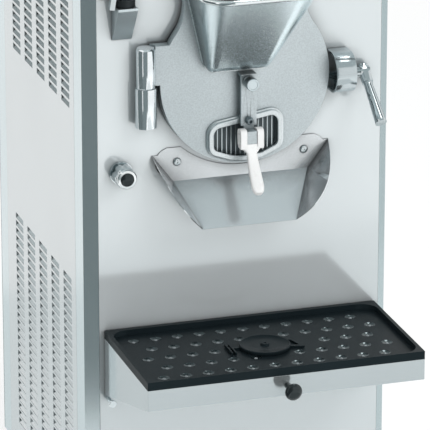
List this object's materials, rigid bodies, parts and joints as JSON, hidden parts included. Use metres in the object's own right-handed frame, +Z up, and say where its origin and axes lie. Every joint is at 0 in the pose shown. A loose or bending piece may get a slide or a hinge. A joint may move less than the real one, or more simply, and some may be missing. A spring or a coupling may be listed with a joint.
{
  "type": "ice cream maker",
  "caption": "Floor-standing batch freezer for ice cream: louvred steel cabinet on casters, hinged front door with hopper and gate lever, chute and shelf with a dimpled mat.",
  "frame": {"origin": "on the floor, under the middle of the footprint", "axes": "+Z up, the door and the shelf face -Y"},
  "size_m": [0.51, 0.846, 1.4],
  "materials": {
    "stainless": "brushed",
    "door_steel": "fine blasted",
    "dark_stainless": "satin",
    "polished_steel": "polished",
    "frame_steel": "satin",
    "cast_aluminium": "cast",
    "fin_aluminium": "mill",
    "black_iron": "painted",
    "black_plastic": "matte",
    "white_plastic": "satin",
    "rubber": "matte",
    "caster_tyre": "matte",
    "foam": "matte",
    "display_glass": "gloss"
  },
  "bodies": {
    "cabinet": {"base_frame": "frame_steel", "corner_posts": "stainless", "left_side_panel": "stainless", "right_side_panel": "stainless", "front_panel": "stainless", "control_panel": "dark_stainless", "display_window": "display_glass", "rear_panel": "stainless", "top_cover": "stainless", "rear_caster_forks": "polished_steel", "freezing_cylinder": "stainless", "insulation_jacket": "foam", "shaft_bearing": "cast_aluminium", "drive_belt": "rubber", "motor": "cast_aluminium", "compressor": "black_iron", "condenser": "fin_aluminium", "electric_box": "frame_steel", "hinge_block": "stainless", "hinge_pin": "polished_steel", "clamp_keeper": "polished_steel", "chute": "stainless", "chute_screws": "polished_steel", "tap_body": "polished_steel", "shower_holster": "stainless", "shelf_pins": "polished_steel"},
    "button": {"start_button": "polished_steel"},
    "swivel_left": {"caster_fork_left": "polished_steel"},
    "swivel_right": {"caster_fork_right": "polished_steel"},
    "wheel_front_left": {"caster_wheel_front_left": "caster_tyre"},
    "wheel_front_right": {"caster_wheel_front_right": "caster_tyre"},
    "wheel_rear_left": {"caster_wheel_rear_left": "caster_tyre"},
    "wheel_rear_right": {"caster_wheel_rear_right": "caster_tyre"},
    "agitator": {"beater": "polished_steel", "scraper_blades": "white_plastic", "driven_pulley": "black_iron"},
    "motor_rotor": {"motor_pulley": "black_iron"},
    "fan_rotor": {"fan": "cast_aluminium"},
    "door": {"door_plate": "door_steel", "hinge_sleeve": "polished_steel", "door_gasket": "rubber", "hopper": "dark_stainless", "outlet_frame": "door_steel", "outlet_grille": "stainless", "gate_strap": "stainless", "strap_knob": "polished_steel", "strap_bolt": "polished_steel", "lever_pin": "polished_steel", "clamp_stud": "polished_steel", "clamp_housing": "stainless"},
    "lever": {"gate_lever": "white_plastic"},
    "gate": {"gate_plate": "black_plastic"},
    "clamp": {"clamp_lever": "polished_steel"},
    "tap": {"tap_knob": "polished_steel"},
    "shower": {"shower_handset": "polished_steel", "handset_collar": "rubber"},
    "shelf": {"shelf_tray": "stainless", "shelf_mat": "black_plastic"},
    "locator": {"pan_locator": "black_plastic"},
    "shelf_pull": {"shelf_knob": "black_plastic"}
  },
  "joints": [
    {"name": "door_swing", "type": "hinge", "parent": "cabinet", "child": "door", "pos_m": [-0.162, -0.1625, 0.9], "axis": [0, 0, -1], "range_deg": [0, 110]},
    {"name": "clamp_turn", "type": "hinge", "parent": "door", "child": "clamp", "pos_m": [0.202, -0.1595, 0.891], "axis": [-1, 0, 0], "range_deg": [0, 110]},
    {"name": "gate_lever_lift", "type": "hinge", "parent": "door", "child": "lever", "pos_m": [0, -0.1975, 0.817], "axis": [-1, 0, 0], "range_deg": [0, 70]},
    {"name": "gate_rise", "type": "slide", "parent": "door", "child": "gate", "axis": [0, 0, 1], "range_m": [0, 0.055]},
    {"name": "tap_turn", "type": "hinge", "parent": "cabinet", "child": "tap", "pos_m": [-0.199, -0.1635, 0.757], "axis": [0, -1, 0], "range_deg": [0, 180]},
    {"name": "handset_lift", "type": "slide", "parent": "cabinet", "child": "shower", "axis": [0, 0, 1], "range_m": [0, 0.06]},
    {"name": "shelf_lift", "type": "slide", "parent": "cabinet", "child": "shelf", "axis": [0, 0, 1], "range_m": [0, 0.012]},
    {"name": "locator_turn", "type": "hinge", "parent": "shelf", "child": "locator", "pos_m": [0, -0.2725, 0.49], "axis": [0, 0, 1], "continuous": true},
    {"name": "shelf_knob_pull", "type": "slide", "parent": "shelf", "child": "shelf_pull", "axis": [0, -1, 0], "range_m": [0, 0.008], "stiffness_N_per_m": 300},
    {"name": "start_press", "type": "slide", "parent": "cabinet", "child": "button", "axis": [0, 1, 0], "range_m": [0, 0.004], "stiffness_N_per_m": 300},
    {"name": "beater_spin", "type": "hinge", "parent": "cabinet", "child": "agitator", "pos_m": [0, 0.0565, 0.902], "axis": [0, 1, 0], "continuous": true},
    {"name": "motor_spin", "type": "hinge", "parent": "cabinet", "child": "motor_rotor", "pos_m": [0, 0.3065, 0.59], "axis": [0, 1, 0], "continuous": true},
    {"name": "fan_spin", "type": "hinge", "parent": "cabinet", "child": "fan_rotor", "pos_m": [-0.126, 0.1465, 0.36], "axis": [1, 0, 0], "continuous": true},
    {"name": "swivel_left_turn", "type": "hinge", "parent": "cabinet", "child": "swivel_left", "pos_m": [-0.205, -0.0835, 0.11], "axis": [0, 0, 1], "continuous": true},
    {"name": "swivel_right_turn", "type": "hinge", "parent": "cabinet", "child": "swivel_right", "pos_m": [0.205, -0.0835, 0.11], "axis": [0, 0, 1], "continuous": true},
    {"name": "wheel_front_left_spin", "type": "hinge", "parent": "swivel_left", "child": "wheel_front_left", "pos_m": [-0.205, -0.0555, 0.05], "axis": [1, 0, 0], "continuous": true},
    {"name": "wheel_front_right_spin", "type": "hinge", "parent": "swivel_right", "child": "wheel_front_right", "pos_m": [0.205, -0.0555, 0.05], "axis": [1, 0, 0], "continuous": true},
    {"name": "wheel_rear_left_spin", "type": "hinge", "parent": "cabinet", "child": "wheel_rear_left", "pos_m": [-0.205, 0.3465, 0.05], "axis": [1, 0, 0], "continuous": true},
    {"name": "wheel_rear_right_spin", "type": "hinge", "parent": "cabinet", "child": "wheel_rear_right", "pos_m": [0.205, 0.3465, 0.05], "axis": [1, 0, 0], "continuous": true}
  ],
  "couplings": [
    {"joint": "motor_spin", "follows": "beater_spin", "ratio": 2},
    {"joint": "gate_rise", "follows": "gate_lever_lift", "m_per_rad": 0.045}
  ]
}
